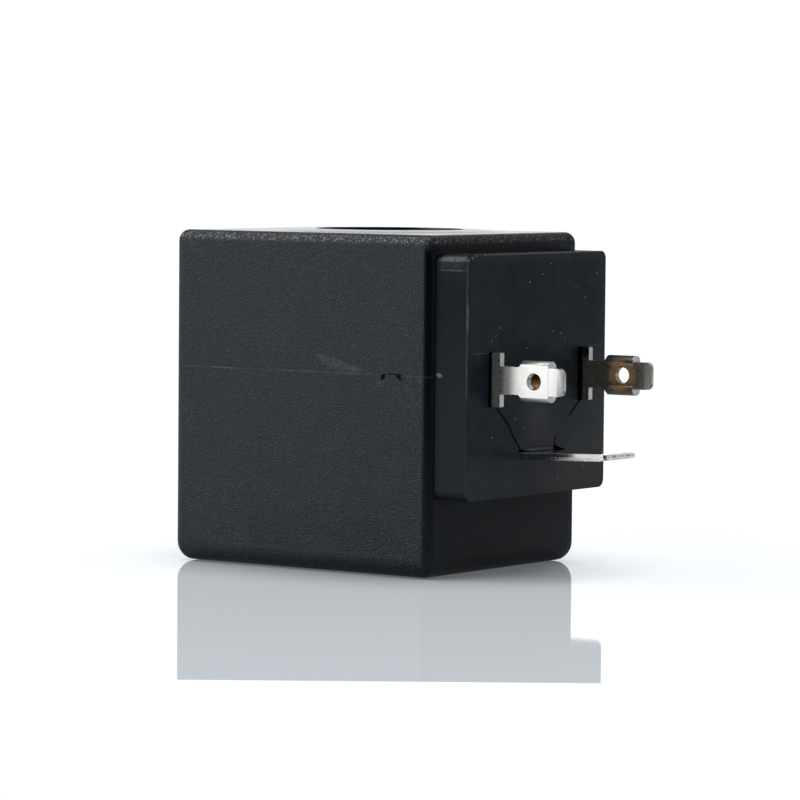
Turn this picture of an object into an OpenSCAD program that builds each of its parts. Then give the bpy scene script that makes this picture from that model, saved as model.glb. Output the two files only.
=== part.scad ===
// Encapsulated solenoid valve coil with a three-contact connector pad.
// Millimetres. Z is the bore axis, X points out of the connector pad,
// and the origin is on the bore axis at the bottom face.

/* [Block] */
// Distance from the bore axis to the front face, which carries the pad
block_front = 16.3; // [15.8:0.1:20]
// Distance from the bore axis to the back face
block_back = 19.7; // [18.5:0.1:24]
// Width of the block across the bore
block_w = 29.7; // [29.4:0.1:32]
// Height of the block
block_h = 38; // [36:0.1:44]
// Radius of the upright and top edges
edge_r = 1.3; // [0.8:0.1:1.6]
// Radius of the bottom edge
base_r = 2.2; // [1.6:0.1:2.6]
// Moulding above and below the magnetic frame
end_skin = 1.8; // [1.2:0.1:2.4]
// Moulding beside the coil
side_wall = 1.9; // [1.5:0.1:2.3]

/* [Bore and coil] */
// Height of the crown that lifts the bore's upper rim over the top face
crown_h = 0.25; // [0.1:0.05:0.5]
// Diameter of the crown where it leaves the top face
crown_d = 26.6; // [24:0.2:27]
// Diameter of the flat seat on the crown
seat_d = 20.4; // [19:0.2:22]
// Diameter of the bore that slides over the valve's armature tube
bore_d = 17; // [14:0.1:17.6]
// Wall of the bobbin's tube
bobbin_wall = 0.8; // [0.6:0.05:1.2]
// Thickness of the bobbin's flanges
flange_t = 1.2; // [0.9:0.05:1.6]
// Thickness of the tape round the winding
tape_t = 0.25; // [0.15:0.05:0.4]
// Width of the lead slots in the upper flange
lead_slot_w = 1.2; // [0.9:0.05:1.6]

/* [Magnetic frame] */
// Thickness of the steel strip
yoke_t = 3; // [2:0.1:3.4]
// Width of the steel strip
yoke_w = 22; // [20:0.5:24]
// Inside bend radius of the strip
yoke_bend_r = 0.5; // [0.3:0.1:0.8]
// How far the frame's front ends reach past the coil
yoke_lap = 0.3; // [0.1:0.05:0.5]

/* [Connector pad] */
// How far the pad stands out from the block
pad_t = 4.25; // [4:0.05:6]
// Width of the pad
pad_w = 27.9; // [27:0.1:28.4]
// Height of the pad
pad_h = 27.1; // [26:0.1:29]
// Height of the pad's centre above the bottom face
pad_z = 22.4; // [21.5:0.1:23]
// Radius of the pad's upper corners
pad_top_r = 1.3; // [0.6:0.1:1.8]
// Radius of the pad's lower corners
pad_low_r = 0.7; // [0.4:0.1:1.2]
// Thickness of the terminal carrier let into the pad's face
carrier_t = 3.2; // [2.6:0.1:3.8]
// Wall of the carrier round the contact slots
carrier_wall = 0.6; // [0.5:0.05:0.9]

/* [Contacts] */
// Distance between the two upright contacts
pitch = 18; // [17:0.1:18.4]
// How far the contacts' centre lies below the pad's centre
contact_drop = 0.3; // [0:0.05:0.6]
// Thickness of the contact sheet
tab_t = 0.8; // [0.6:0.05:0.9]
// Length of an upright contact in front of the pad
tab_l = 9.5; // [8.9:0.1:11]
// Width of the straight part of an upright contact
tab_w = 3.1; // [2.8:0.1:3.4]
// Width across the folded wings
wing_w = 4.6; // [4.4:0.1:5.4]
// Where the wings start in front of the pad
wing_start = 3.6; // [2.8:0.1:4.2]
// Where the wings end in front of the pad
wing_end = 7.6; // [7:0.1:8.2]
// How far each wing's free edge lies from the contact's middle
wing_inner = 1.15; // [1.0:0.05:1.3]
// Width across the shoulders at the root
shoulder_w = 6; // [5.4:0.1:6.3]
// Length of the shoulders in front of the pad
shoulder_l = 1.25; // [1:0.05:2]
// Diameter of the hole in an upright contact
tab_hole_d = 1.8; // [1.4:0.1:2]
// Where the hole lies in front of the pad
tab_hole_x = 5.7; // [5:0.1:6.2]
// Length of the thinned end of each contact
tip_taper = 0.8; // [0.6:0.1:1.2]
// Thickness of the contacts' end edges
tip_t = 0.4; // [0.3:0.05:0.5]
// Corner radius of the upright contacts' ends
tip_r = 0.6; // [0.3:0.05:0.8]
// Width of the earth contact
earth_w = 6.3; // [5.8:0.1:6.6]
// Length of the earth contact in front of the pad
earth_l = 11.1; // [9.5:0.1:12]
// Corner radius of the earth contact's end
earth_r = 0.35; // [0.2:0.05:0.6]
// How far the earth contact lies below the upright contacts' centre
earth_drop = 8.8; // [8.4:0.1:9.4]
// Upward set of the earth contact, in degrees
earth_set = 1.9; // [0:0.1:2.5]
// Width of the strap that joins the earth contact to the frame
strap_w = 5; // [4:0.1:6]
// Room beside each contact in the mouth of its slot
slot_side = 0.35; // [0.2:0.05:0.5]
// Depth of the slot mouths
slot_depth = 0.8; // [0.4:0.1:1.2]

/* [Screw insert] */
// Outside diameter of the brass insert
insert_d = 4.4; // [4:0.1:5]
// Diameter of the insert's collar, which is what shows in the pad's face
collar_d = 3.3; // [3.1:0.1:3.8]
// Length of the collar
collar_l = 0.6; // [0.4:0.1:1]
// Length of the insert
insert_l = 6.5; // [5.5:0.1:7]
// Core diameter of its thread
thread_d = 2.5; // [2.05:0.05:2.7]
// Closed end behind the thread
insert_floor = 0.6; // [0.4:0.1:1]
// Depth of the groove that locks the insert in the moulding
insert_groove = 0.35; // [0.2:0.05:0.5]
// Width of that groove, at the middle of the insert
groove_w = 1.3; // [1:0.1:1.8]

/* [Wiring] */
// Diameter of the winding's leads
lead_d = 0.5; // [0.3:0.05:0.6]
// Outside diameter of the lead sleeves
sleeve_d = 1.3; // [1.1:0.05:1.5]
// Distance of the leads' upright runs outside the coil
lead_out = 1.1; // [1:0.05:1.4]
// Radius of the solder joints
solder_r = 1.1; // [1:0.05:1.3]
// Width of the solder tails behind the carrier
tail_w = 1.6; // [1.2:0.1:1.8]
// Gap between the leads' upright runs and the tails
tail_reach = 1.7; // [1.5:0.1:2]

/* [Rivet] */
// Diameter of the rivet's shank
rivet_d = 1.6; // [1.2:0.1:1.8]
// Diameter of the rivet's head
rivet_head_d = 2.8; // [2.4:0.1:3]
// Height of the rivet's head
rivet_head_h = 0.9; // [0.6:0.05:1]
// Length of the shank in the frame
rivet_grip = 4; // [3:0.1:5]

/* [Hidden] */
$fn = 64;

// Room left between neighbouring pieces
fit_gap = 0.05;
// Extra length of a cut past the face it opens
over = 1;

block_l = block_front + block_back;
pad_x = block_front + pad_t;
contact_z = pad_z - contact_drop;
earth_z = contact_z - earth_drop;
contact_y = pitch / 2;

bore_r = bore_d / 2;
core_r = bore_r + bobbin_wall;
coil_r = block_w / 2 - side_wall;
wind_r = coil_r - tape_t;

// Heights of the frame's inner faces, the bobbin between them and the winding space
frame_low = end_skin + yoke_t;
frame_high = block_h - end_skin - yoke_t;
bobbin_low = frame_low + fit_gap;
bobbin_high = frame_high - fit_gap;
wind_low = bobbin_low + flange_t + fit_gap;
wind_high = bobbin_high - flange_t - fit_gap;

// The frame's back limb clears the flanges by its own bend, and its front ends stop
// just past them, where the earth strap runs up
limb_x = -(coil_r + yoke_bend_r + fit_gap);
frame_front = coil_r + yoke_lap;
strap_x = frame_front + fit_gap;
strap_bend_r = tab_t;
// Span that takes in a contact's sheet with its folded wings
fold_span = 4 * tab_t;

carrier_x = pad_x - carrier_t;
lead_r = coil_r + lead_out;
lead_x = sqrt(lead_r * lead_r - contact_y * contact_y);
lead_angle = atan2(contact_y, lead_x);
lead_top = bobbin_high - flange_t / 2;
// Radius of a lead's turns against the lead's own
lead_knuckle = 1.06;
tail_x = lead_x + tail_reach;
start_r = core_r + lead_d;
finish_r = wind_r - lead_d;
sleeve_low = contact_z + solder_r + fit_gap;
sleeve_high = lead_top - lead_d;

// Rectangle from the origin with one radius at its upper and one at its lower corners
module soft_rect(w, h, top_r, low_r) {
    translate([0, low_r]) square([w, h - low_r - top_r]);
    translate([low_r, 0]) square([w - 2 * low_r, h - top_r]);
    translate([top_r, low_r]) square([w - 2 * top_r, h - low_r]);
    for (x = [low_r, w - low_r]) translate([x, low_r]) circle(low_r);
    for (x = [top_r, w - top_r]) translate([x, h - top_r]) circle(top_r);
}

// Quarter ring of a bent strip: centre of the bend at the origin, bend at -x and +y
module bend_ring(inner_r, t) {
    intersection() {
        difference() {
            circle(inner_r + t);
            circle(inner_r);
        }
        translate([-inner_r - t, 0]) square(inner_r + t);
    }
}

// Round bar between two points
module bar(a, b, r) {
    d = b - a;
    flat = norm([d.x, d.y]);
    translate(a) rotate([0, atan2(flat, d.z), atan2(d.y, d.x)]) cylinder(r = r, h = norm(d));
}

// Round tube along Z
module tube(inner_r, outer_r, low, high) {
    translate([0, 0, low]) difference() {
        cylinder(r = outer_r, h = high - low);
        translate([0, 0, -over]) cylinder(r = inner_r, h = high - low + 2 * over);
    }
}

// Profile in the XZ plane given a width along Y, centred on y = 0
module across(w) {
    translate([0, w / 2, 0]) rotate([90, 0, 0]) linear_extrude(w) children();
}

// Profile in the YZ plane given a depth along X from x = 0
module forward(depth) {
    rotate([90, 0, 90]) linear_extrude(depth) children();
}

// Outside of the moulding

// Turned corner of the block, so that the upright edge blends into top and bottom
module corner_post() {
    rotate_extrude() intersection() {
        translate([edge_r - block_w, 0]) soft_rect(block_w, block_h, edge_r, base_r);
        square([edge_r, block_h]);
    }
}

module block() {
    translate([-block_back, 0, 0]) across(block_w - 2 * edge_r)
        soft_rect(block_l, block_h, edge_r, base_r);
    translate([edge_r - block_back, 0, 0]) forward(block_l - 2 * edge_r)
        translate([-block_w / 2, 0]) soft_rect(block_w, block_h, edge_r, base_r);
    for (x = [edge_r - block_back, block_front - edge_r], side = [-1, 1])
        translate([x, side * (block_w / 2 - edge_r), 0]) corner_post();
}

// Low crown round the bore, flat on top, that the nut's washer sits on
module crown() {
    translate([0, 0, block_h]) cylinder(d1 = crown_d, d2 = seat_d, h = crown_h);
}

module pad() {
    translate([block_front - edge_r, 0, pad_z - pad_h / 2]) forward(pad_t + edge_r)
        translate([-pad_w / 2, 0]) soft_rect(pad_w, pad_h, pad_top_r, pad_low_r);
}

// Magnetic frame

// C-shaped strip, grown by g on every face
module frame_strip(g) {
    ring_r = yoke_bend_r - g;
    t = yoke_t + 2 * g;
    reach = frame_front + g - limb_x - yoke_bend_r;
    across(yoke_w + 2 * g) {
        translate([limb_x - yoke_t - g, frame_low + yoke_bend_r])
            square([t, frame_high - frame_low - 2 * yoke_bend_r]);
        for (z = [end_skin - g, frame_high - g])
            translate([limb_x + yoke_bend_r, z]) square([reach, t]);
        translate([limb_x + yoke_bend_r, frame_high - yoke_bend_r]) bend_ring(ring_r, t);
        translate([limb_x + yoke_bend_r, frame_low + yoke_bend_r])
            mirror([0, 1]) bend_ring(ring_r, t);
    }
}

// Contacts

// Side outline of an upright contact's straight strip, with a rounded end
module strip_outline() {
    translate([-carrier_t, -tab_w / 2]) square([carrier_t + tab_l - tip_r, tab_w]);
    translate([0, tip_r - tab_w / 2]) square([tab_l, tab_w - 2 * tip_r]);
    for (side = [-1, 1])
        translate([tab_l - tip_r, side * (tab_w / 2 - tip_r)]) circle(tip_r);
}

// Thickness of a contact of length l, thinned towards its end, seen along its width
module thinned(l) {
    polygon([[-carrier_t - over, -tab_t / 2], [l - tip_taper, -tab_t / 2], [l, -tip_t / 2],
        [l, tip_t / 2], [l - tip_taper, tab_t / 2], [-carrier_t - over, tab_t / 2]]);
}

// Section of the folded part: the sheet with both edges turned over on its +Y side
module fold_section() {
    fold_z = wing_w / 2 - tab_t;
    translate([-tab_t / 2, -fold_z]) square([tab_t, 2 * fold_z]);
    for (side = [0, 1]) mirror([0, side]) {
        translate([tab_t / 2, wing_inner]) square([tab_t, fold_z - wing_inner]);
        intersection() {
            translate([tab_t / 2, fold_z]) circle(tab_t);
            translate([-tab_t, fold_z]) square(3 * tab_t);
        }
    }
}

// Folded wings, cut on the slant where they leave the straight strip
module wings() {
    slant = (wing_w - tab_w) / 4;
    intersection() {
        translate([wing_start, 0, 0]) forward(wing_end - wing_start) fold_section();
        across(fold_span) polygon([[wing_start, -tab_w / 2], [wing_start + slant, -wing_w / 2],
            [wing_end, -wing_w / 2], [wing_end, wing_w / 2],
            [wing_start + slant, wing_w / 2], [wing_start, tab_w / 2]]);
    }
}

// Upright contact with the pad's face at x = 0, wings folded towards +Y
module folded_tab() {
    difference() {
        union() {
            intersection() {
                across(tab_t) strip_outline();
                translate([0, 0, -tab_w]) linear_extrude(2 * tab_w) thinned(tab_l);
            }
            translate([-carrier_t, 0, 0]) across(tab_t)
                translate([0, -shoulder_w / 2]) square([carrier_t + shoulder_l, shoulder_w]);
            wings();
            tail(0);
        }
        translate([tab_hole_x, 0, 0]) rotate([90, 0, 0])
            cylinder(d = tab_hole_d, h = fold_span, center = true);
    }
}

// Solder tail behind the carrier, grown by g
module tail(g) {
    length = pad_x - carrier_t - tail_x;
    translate([-carrier_t - length - g, 0, 0]) across(tab_t + 2 * g)
        translate([0, -tail_w / 2 - g]) square([length + 2 * g, tail_w + 2 * g]);
}

// Puts a contact's own frame at its place on the pad: side -1 is the line contact
module at_contact(side) {
    translate([pad_x, side * contact_y, contact_z]) mirror([0, (1 + side) / 2, 0]) children();
}

// Strap from the frame's lower end up to the level of the earth contact, grown by g
module earth_strap(g) {
    rise = earth_z - tab_t / 2 - strap_bend_r;
    ring_r = strap_bend_r - g;
    t = tab_t + 2 * g;
    turn_x = strap_x + tab_t + strap_bend_r;
    across(strap_w + 2 * g) {
        translate([strap_x - g, end_skin - g]) square([t, rise - end_skin + g]);
        translate([turn_x, rise]) bend_ring(ring_r, t);
        translate([turn_x, earth_z - t / 2]) square([carrier_x - turn_x + g, t]);
    }
}

// Earth contact in front of the pad, with rounded corners and a thinned end
module earth_tab() {
    intersection() {
        translate([0, 0, -tab_t]) linear_extrude(2 * tab_t) {
            translate([-tab_t, -earth_w / 2]) square([tab_t + earth_l - earth_r, earth_w]);
            translate([0, earth_r - earth_w / 2]) square([earth_l, earth_w - 2 * earth_r]);
            for (side = [-1, 1])
                translate([earth_l - earth_r, side * (earth_w / 2 - earth_r)]) circle(earth_r);
        }
        across(2 * earth_w) thinned(earth_l);
    }
}

// Stretch of the earth contact inside the carrier
module earth_root() {
    translate([carrier_x, -earth_w / 2, earth_z - tab_t / 2]) cube([carrier_t, earth_w, tab_t]);
}

// Terminal carrier

// Face of the carrier, centred on the upright contacts: a bar behind them,
// drawn in below to the earth contact
module carrier_outline() {
    bar_y = contact_y + tab_t / 2 + slot_side + 2 * carrier_wall;
    bar_z = shoulder_w / 2 + fit_gap + carrier_wall;
    foot_y = earth_w / 2 + slot_side + carrier_wall;
    foot_z = earth_drop + tab_t / 2 + slot_side + carrier_wall;
    neck_z = earth_drop - tab_t;
    polygon([[-bar_y, bar_z], [bar_y, bar_z], [bar_y, -bar_z], [contact_y, -bar_z],
        [foot_y, -neck_z], [foot_y, -foot_z], [-foot_y, -foot_z], [-foot_y, -neck_z],
        [-contact_y, -bar_z], [-bar_y, -bar_z]]);
}

module carrier_block() {
    translate([carrier_x, 0, contact_z]) forward(carrier_t) carrier_outline();
}

// Slot for a contact of section w by h at (y, z), with a wider mouth in the pad's face
module contact_slot(y, z, w, h, mouth_w, mouth_h) {
    translate([carrier_x - over, y - w / 2, z - h / 2]) cube([carrier_t + 2 * over, w, h]);
    translate([pad_x - slot_depth, y - mouth_w / 2, z - mouth_h / 2])
        cube([slot_depth + over, mouth_w, mouth_h]);
}

// Outside of the screw insert, with its collar and locking groove
module insert_body() {
    groove_low = (insert_l - groove_w) / 2;
    groove_high = (insert_l + groove_w) / 2;
    r = insert_d / 2;
    neck_r = r - insert_groove;
    collar_r = collar_d / 2;
    translate([pad_x, 0, contact_z]) rotate([0, -90, 0]) rotate_extrude()
        polygon([[0, 0], [collar_r, 0], [collar_r, collar_l], [r, collar_l],
            [r, groove_low], [neck_r, groove_low], [neck_r, groove_high],
            [r, groove_high], [r, insert_l], [0, insert_l]]);
}

// Wiring

// Turning points of a lead: up from radius inner_r on the winding, out through the
// flange, down outside the coil and forward to the end of its tail
function lead_route(side, inner_r) =
    let (x = inner_r * cos(lead_angle), y = side * inner_r * sin(lead_angle))
    [[x, y, wind_high], [x, y, lead_top], [lead_x, side * contact_y, lead_top],
        [lead_x, side * contact_y, contact_z], [tail_x, side * contact_y, contact_z]];

// Wire along the route, with a slightly fuller bend at each turn
module lead(side, inner_r) {
    route = lead_route(side, inner_r);
    r = lead_d / 2;
    for (i = [0 : len(route) - 2]) bar(route[i], route[i + 1], r);
    for (i = [1 : len(route) - 2]) translate(route[i]) sphere(r * lead_knuckle);
}

// Space that the moulding leaves for a lead and its sleeve
module lead_room(side) {
    r = sleeve_d / 2 + fit_gap;
    translate([lead_x, side * contact_y, contact_z])
        cylinder(r = r, h = lead_top + r - contact_z);
    rotate(side * lead_angle) translate([wind_r, -r, lead_top - r])
        cube([lead_r - wind_r, 2 * r, 2 * r]);
}

module sleeve(side) {
    translate([lead_x, side * contact_y, 0])
        tube(lead_d / 2 + fit_gap, sleeve_d / 2, sleeve_low, sleeve_high);
}

// Ball turned round the line of the lead and the tail, grown by g
module solder_ball(side, g) {
    r = solder_r + g;
    translate([tail_x, side * contact_y, contact_z]) rotate([0, 90, 0]) rotate_extrude()
        intersection() {
            circle(r);
            translate([0, -r]) square([r, 2 * r]);
        }
}

module solder(side) {
    difference() {
        solder_ball(side, 0);
        at_contact(side) tail(0);
        bar([lead_x, side * contact_y, contact_z], [tail_x, side * contact_y, contact_z], lead_d / 2);
    }
}

// Slot in the upper flange that a lead leaves by
module lead_slot(side, inner_r) {
    rotate(side * lead_angle) translate([inner_r - lead_slot_w / 2, -lead_slot_w / 2, wind_high])
        cube([coil_r, lead_slot_w, block_h - wind_high]);
}

// Rivet through the strap into the front end of the frame's lower leg
module rivet_axis() {
    translate([strap_x + tab_t, 0, end_skin + yoke_t / 2]) rotate([0, 90, 0]) children();
}

module rivet_head(g) {
    rivet_axis() cylinder(d1 = rivet_head_d + 2 * g, d2 = rivet_d + 2 * g, h = rivet_head_h + g);
}

module rivet_shank(g) {
    length = tab_t + rivet_grip;
    rivet_axis() translate([0, 0, -length - g]) cylinder(d = rivet_d + 2 * g, h = length + 2 * g);
}

// Pieces

module encapsulation() {
    color("#2b2c2f") difference() {
        union() {
            block();
            crown();
            pad();
        }
        translate([0, 0, -over]) cylinder(r = bore_r, h = block_h + 2 * over);
        translate([0, 0, bobbin_low - fit_gap])
            cylinder(r = coil_r + fit_gap, h = bobbin_high - bobbin_low + 2 * fit_gap);
        frame_strip(fit_gap);
        carrier_block();
        insert_body();
        earth_strap(fit_gap);
        rivet_head(fit_gap);
        for (side = [-1, 1]) {
            at_contact(side) tail(fit_gap);
            lead_room(side);
            solder_ball(side, fit_gap);
        }
    }
}

module terminal_carrier() {
    color("#323337") difference() {
        carrier_block();
        for (side = [-1, 1])
            contact_slot(side * contact_y, contact_z, tab_t + 2 * fit_gap,
                shoulder_w + 2 * fit_gap, tab_t + 2 * slot_side, shoulder_w + 2 * fit_gap);
        contact_slot(0, earth_z, earth_w + 2 * fit_gap, tab_t + 2 * fit_gap,
            earth_w + 2 * slot_side, tab_t + 2 * slot_side);
        insert_body();
    }
}

module line_terminal() {
    color("#d9d8d4") at_contact(-1) folded_tab();
}

module neutral_terminal() {
    color("#d9d8d4") at_contact(1) folded_tab();
}

module earth_terminal() {
    color("#cfd3d6") difference() {
        union() {
            earth_strap(0);
            earth_root();
            translate([pad_x, 0, earth_z]) rotate([0, -earth_set, 0]) earth_tab();
        }
        rivet_shank(fit_gap);
    }
}

module earth_rivet() {
    color("#b9bcbf") {
        rivet_head(0);
        rivet_shank(0);
    }
}

module threaded_insert() {
    color("#b98a3c") difference() {
        insert_body();
        translate([pad_x - insert_l + insert_floor, 0, contact_z]) rotate([0, 90, 0])
            cylinder(d = thread_d, h = insert_l);
    }
}

module yoke_frame() {
    color("#8f9499") difference() {
        frame_strip(0);
        translate([0, 0, -over]) cylinder(r = bore_r, h = block_h + 2 * over);
        rivet_shank(fit_gap);
    }
}

module bobbin() {
    flange_low = bobbin_low + flange_t;
    flange_high = bobbin_high - flange_t;
    color("#e4dfd2") difference() {
        rotate_extrude() polygon([[bore_r, bobbin_low], [coil_r, bobbin_low],
            [coil_r, flange_low], [core_r, flange_low], [core_r, flange_high],
            [coil_r, flange_high], [coil_r, bobbin_high], [bore_r, bobbin_high]]);
        lead_slot(-1, start_r);
        lead_slot(1, finish_r);
    }
}

module winding() {
    color("#a8622f") tube(core_r + fit_gap, wind_r, wind_low, wind_high);
}

module cover_tape() {
    color("#c9a24a") tube(wind_r + fit_gap, coil_r, wind_low, wind_high);
}

module start_lead() {
    color("#b46a34") lead(-1, start_r);
}

module finish_lead() {
    color("#b46a34") lead(1, finish_r);
}

module start_sleeve() {
    color("#e9e4d8") sleeve(-1);
}

module finish_sleeve() {
    color("#e9e4d8") sleeve(1);
}

module start_solder() {
    color("#c4c7c9") solder(-1);
}

module finish_solder() {
    color("#c4c7c9") solder(1);
}

encapsulation();
terminal_carrier();
line_terminal();
neutral_terminal();
earth_terminal();
earth_rivet();
threaded_insert();
yoke_frame();
bobbin();
winding();
cover_tape();
start_lead();
finish_lead();
start_sleeve();
finish_sleeve();
start_solder();
finish_solder();
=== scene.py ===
import math
from functools import partial

import bmesh
import bpy
from mathutils import Matrix, Vector


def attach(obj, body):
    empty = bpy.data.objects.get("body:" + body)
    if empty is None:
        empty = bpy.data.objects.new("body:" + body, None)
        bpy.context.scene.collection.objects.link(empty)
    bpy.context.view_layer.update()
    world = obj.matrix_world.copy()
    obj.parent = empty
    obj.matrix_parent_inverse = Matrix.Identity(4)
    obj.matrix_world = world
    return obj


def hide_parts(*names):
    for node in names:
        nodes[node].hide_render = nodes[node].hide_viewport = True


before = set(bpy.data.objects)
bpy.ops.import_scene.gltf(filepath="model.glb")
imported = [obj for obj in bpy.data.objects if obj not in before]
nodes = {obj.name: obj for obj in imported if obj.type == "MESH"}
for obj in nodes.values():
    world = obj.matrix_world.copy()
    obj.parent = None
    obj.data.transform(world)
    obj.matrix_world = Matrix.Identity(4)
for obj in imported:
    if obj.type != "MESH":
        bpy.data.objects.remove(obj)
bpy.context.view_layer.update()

scene = bpy.context.scene
mm = 0.001  # meshes are drawn in millimetres and scaled once at the end
toPad = Matrix(((0, 0, 1, 0), (1, 0, 0, 0), (0, 1, 0, 0), (0, 0, 0, 1)))  # drawing u, v -> y, z; its height -> x
toSide = Matrix(((1, 0, 0, 0), (0, 0, 1, 0), (0, 1, 0, 0), (0, 0, 0, 1)))  # drawing u, v -> x, z; its height -> y
print("frame loaded:", len(nodes), "nodes")


# sizes that several pieces share

block = {
    "front": 16.3, "back": 19.7, "width": 29.7, "height": 38.0, "edgeR": 1.3, "baseR": 2.2, "steps": 8,
    "cornerGap": 0.01, "seamZ": 22.4, "seamHalf": 0.07, "seamOut": 0.025, "boreR": 8.5, "rimR": 0.15, "rimSteps": 6,
    "crownR": 13.3, "seatR": 9.2, "crown": 0.25, "crownSteps": 10, "roundness": 128}
pad = {
    "face": 20.55, "width": 27.9, "height": 27.1, "middle": 22.4, "topR": 0.9, "lowR": 1.0, "frontR": 0.1,
    "frontSteps": 4, "root": 14.0, "seamHalf": 0.06, "seamOut": 0.02, "finishFrom": 16.4,
    "wornCorner": ((20.55, -13.95, 35.3), (20.55, -12.1, 35.96), (20.15, -13.55, 35.82))}
contacts = {"z": 22.1, "y": 9.0, "sheet": 0.8, "carrierX": 17.35, "holeX": 5.7, "room": 0.05}
insert = {
    "r": 2.2, "length": 6.5, "collarR": 1.65, "collar": 0.6, "coreR": 1.25, "threadR": 1.5, "pitch": 0.5,
    "threadFrom": 0.35, "crest": 0.02, "depth": 5.9, "grooveR": 1.85, "grooveLow": 2.6, "grooveHigh": 3.9,
    "chamfer": 0.12, "edge": 0.04, "mouth": 0.05}


# mesh helpers

def drawOutline(points, radii=None, segments=8):
    bm = bmesh.new()
    corners = [bm.verts.new((u, v, 0)) for u, v in points]
    bm.faces.new(corners)
    for radius in sorted(set(radii or [])):
        picked = [c for c, r in zip(corners, radii) if r == radius and r > 0]
        if picked:
            bmesh.ops.bevel(bm, geom=picked, offset=radius, offset_type="OFFSET", segments=segments,
                            profile=0.5, affect="VERTICES", material=-1)
    return bm


def onlyVerts(geom):
    return [g for g in geom if isinstance(g, bmesh.types.BMVert)]


def onlyEdges(geom):
    return [g for g in geom if isinstance(g, bmesh.types.BMEdge)]


def place(bm, matrix):
    bmesh.ops.transform(bm, verts=bm.verts, matrix=matrix)
    return bm


def shift(bm, vec):
    bmesh.ops.translate(bm, verts=bm.verts, vec=vec)


def cutAcross(bm, point, normal):
    bmesh.ops.bisect_plane(bm, geom=bm.verts[:] + bm.edges[:] + bm.faces[:], dist=1e-6,
                           plane_co=point, plane_no=normal)


def extrudeUp(bm, depth):
    grown = bmesh.ops.extrude_face_region(bm, geom=list(bm.faces))["geom"]
    bmesh.ops.translate(bm, verts=onlyVerts(grown), vec=(0, 0, depth))
    bmesh.ops.recalc_face_normals(bm, faces=bm.faces)


def roundOver(bm, sign, radius, steps, cornerR, closeUnder=0.06):
    # rolls the rim of the upper or lower face over by insets; corners tighter than the radius close to a point
    angles = [math.pi / 2 * i / steps for i in range(1, steps + 1)]
    if cornerR < radius:
        angles = sorted(angles + [math.acos(1 - cornerR / radius)])
    turned = risen = 0.0
    for angle in angles:
        inset, rise = radius * (1 - math.cos(angle)), radius * math.sin(angle)
        face = max(bm.faces, key=lambda f: sign * f.calc_center_median().z)
        bmesh.ops.inset_region(bm, faces=[face], use_boundary=True, use_even_offset=True,
                               thickness=inset - turned, depth=rise - risen)
        if inset >= cornerR - 1e-6:
            bmesh.ops.remove_doubles(bm, verts=list(face.verts), dist=closeUnder)
        turned, risen = inset, rise


def makeBox(low, high):
    bm = bmesh.new()
    bmesh.ops.create_cube(bm, size=1)
    bmesh.ops.scale(bm, verts=bm.verts, vec=[h - l for l, h in zip(low, high)])
    shift(bm, [(l + h) / 2 for l, h in zip(low, high)])
    return bm


def makeRod(start, end, radius, segments=32):
    bm = bmesh.new()
    along = Vector(end) - Vector(start)
    bmesh.ops.create_cone(bm, cap_ends=True, segments=segments, radius1=radius, radius2=radius, depth=along.length)
    turn = Vector((0, 0, 1)).rotation_difference(along).to_matrix().to_4x4()
    return place(bm, Matrix.Translation((Vector(start) + Vector(end)) / 2) @ turn)


def latheProfile(points, segments):
    # closed turned body about Z from (radius, height) points that start and end on the axis
    bm = bmesh.new()
    line = [bm.verts.new((r, 0, z)) for r, z in points]
    edges = [bm.edges.new(pair) for pair in zip(line, line[1:])]
    bmesh.ops.spin(bm, geom=line + edges, cent=(0, 0, 0), axis=(0, 0, 1), angle=2 * math.pi,
                   steps=segments, use_merge=True)
    bmesh.ops.remove_doubles(bm, verts=bm.verts, dist=1e-5)
    return bm


def wedgeBar(start, end, outward, width, peak, foot):
    # three-sided bar along a line on a face: its foot and its peak are heights over the face
    start, end, outward = Vector(start), Vector(end), Vector(outward)
    along = (end - start).normalized()
    bm = drawOutline([(-width / 2, foot), (width / 2, foot), (0, peak)])
    extrudeUp(bm, (end - start).length)
    spot = Matrix((outward.cross(along), outward, along)).transposed().to_4x4()
    return place(bm, Matrix.Translation(start) @ spot)


def makeObject(bm, name):
    bmesh.ops.recalc_face_normals(bm, faces=bm.faces)
    mesh = bpy.data.meshes.new(name)
    bm.to_mesh(mesh)
    bm.free()
    obj = bpy.data.objects.new(name, mesh)
    scene.collection.objects.link(obj)
    return obj


def openMesh(obj):
    bm = bmesh.new()
    bm.from_mesh(obj.data)
    return bm


def takeMesh(obj):
    bm = openMesh(obj)
    bpy.data.objects.remove(obj)
    return bm


def combine(obj, tools, operation="DIFFERENCE"):
    for toolBm in tools:
        tool = makeObject(toolBm, "tool")
        mod = obj.modifiers.new("combine", "BOOLEAN")
        mod.operation, mod.solver, mod.object = operation, "EXACT", tool
        graph = bpy.context.evaluated_depsgraph_get()
        mesh, old, toolMesh = bpy.data.meshes.new_from_object(obj.evaluated_get(graph)), obj.data, tool.data
        obj.modifiers.clear()
        obj.data = mesh
        bpy.data.objects.remove(tool)
        bpy.data.meshes.remove(old)
        bpy.data.meshes.remove(toolMesh)


def softenEdges(obj, width, sharpest=0.6, keep=None):
    bm = openMesh(obj)
    bmesh.ops.remove_doubles(bm, verts=bm.verts, dist=0.002)
    bmesh.ops.dissolve_limit(bm, angle_limit=0.01, verts=bm.verts, edges=bm.edges)
    sharp = [e for e in bm.edges if e.is_manifold and e.calc_face_angle(0) > sharpest and (keep is None or keep(e))]
    bmesh.ops.bevel(bm, geom=sharp, offset=width, offset_type="OFFSET", segments=2, profile=0.5,
                    affect="EDGES", material=-1, clamp_overlap=True)
    bm.to_mesh(obj.data)
    bm.free()


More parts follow.
